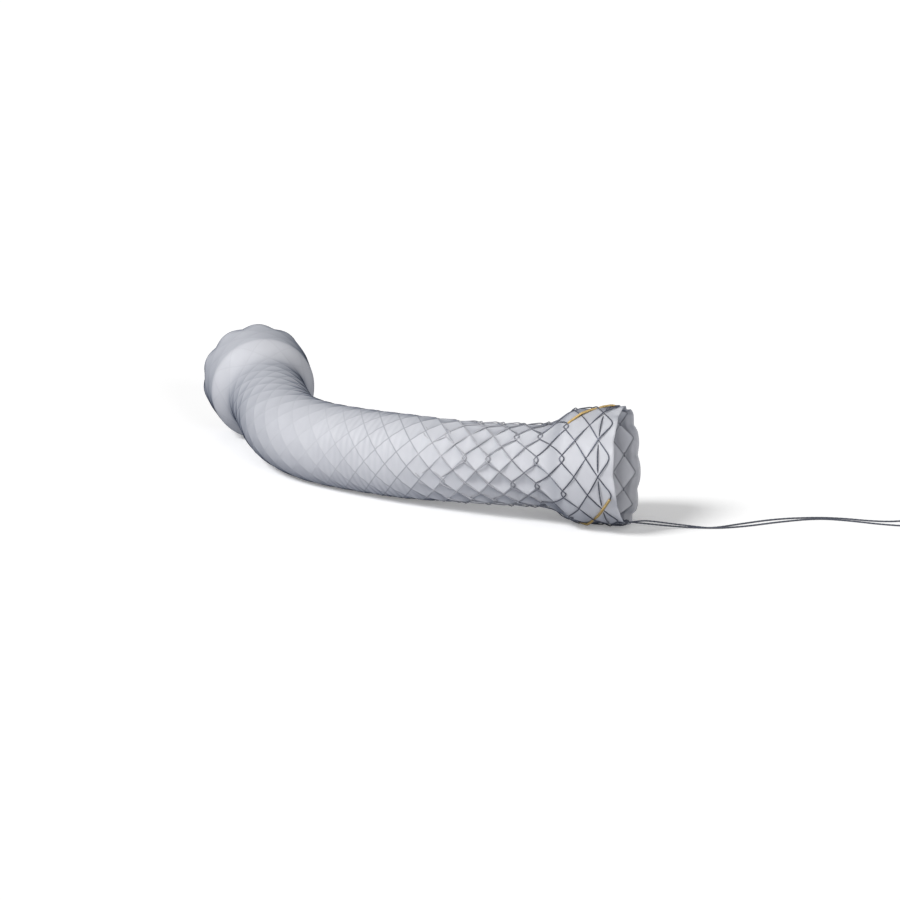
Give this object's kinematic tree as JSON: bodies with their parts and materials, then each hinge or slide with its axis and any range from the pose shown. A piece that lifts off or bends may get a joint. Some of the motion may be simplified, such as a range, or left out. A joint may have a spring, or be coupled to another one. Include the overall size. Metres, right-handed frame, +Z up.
{
  "type": "covered stent",
  "caption": "Bent knitted wire tube with two flared scalloped heads, a thin translucent quilted cover, marker coils, a purse suture and a retrieval string loop.",
  "frame": {"origin": "on the table under the middle of the stent's box, without its string", "axes": "+Z up from the table; +X along the gently bent front half, towards the near mouth with the string; +Y to the inside of the bend, away from the picture's viewer"},
  "size_m": [0.1808, 0.0614, 0.026],
  "materials": {
    "silicone_cover": "clear silicone, thin, smooth and slightly glossy",
    "nitinol_wire": "oxidised nickel titanium wire, dark slate",
    "gold_marker": "wound gold coil",
    "suture": "dark braided suture"
  },
  "bodies": {
    "root": {"cover": "silicone_cover", "near_head_wire_1": "nitinol_wire", "near_head_wire_2": "nitinol_wire", "near_shoulder_wire_1": "nitinol_wire", "near_shoulder_wire_2": "nitinol_wire", "body_wire_1": "nitinol_wire", "body_wire_2": "nitinol_wire", "far_shoulder_wire_1": "nitinol_wire", "far_shoulder_wire_2": "nitinol_wire", "far_head_wire_1": "nitinol_wire", "far_head_wire_2": "nitinol_wire", "near_marker_coil_1": "gold_marker", "near_marker_coil_2": "gold_marker", "near_marker_coil_3": "gold_marker", "far_marker_coil_1": "gold_marker", "far_marker_coil_2": "gold_marker", "far_marker_coil_3": "gold_marker", "purse_suture": "suture", "string_knot": "suture", "retrieval_string": "suture"}
  },
  "joints": []
}
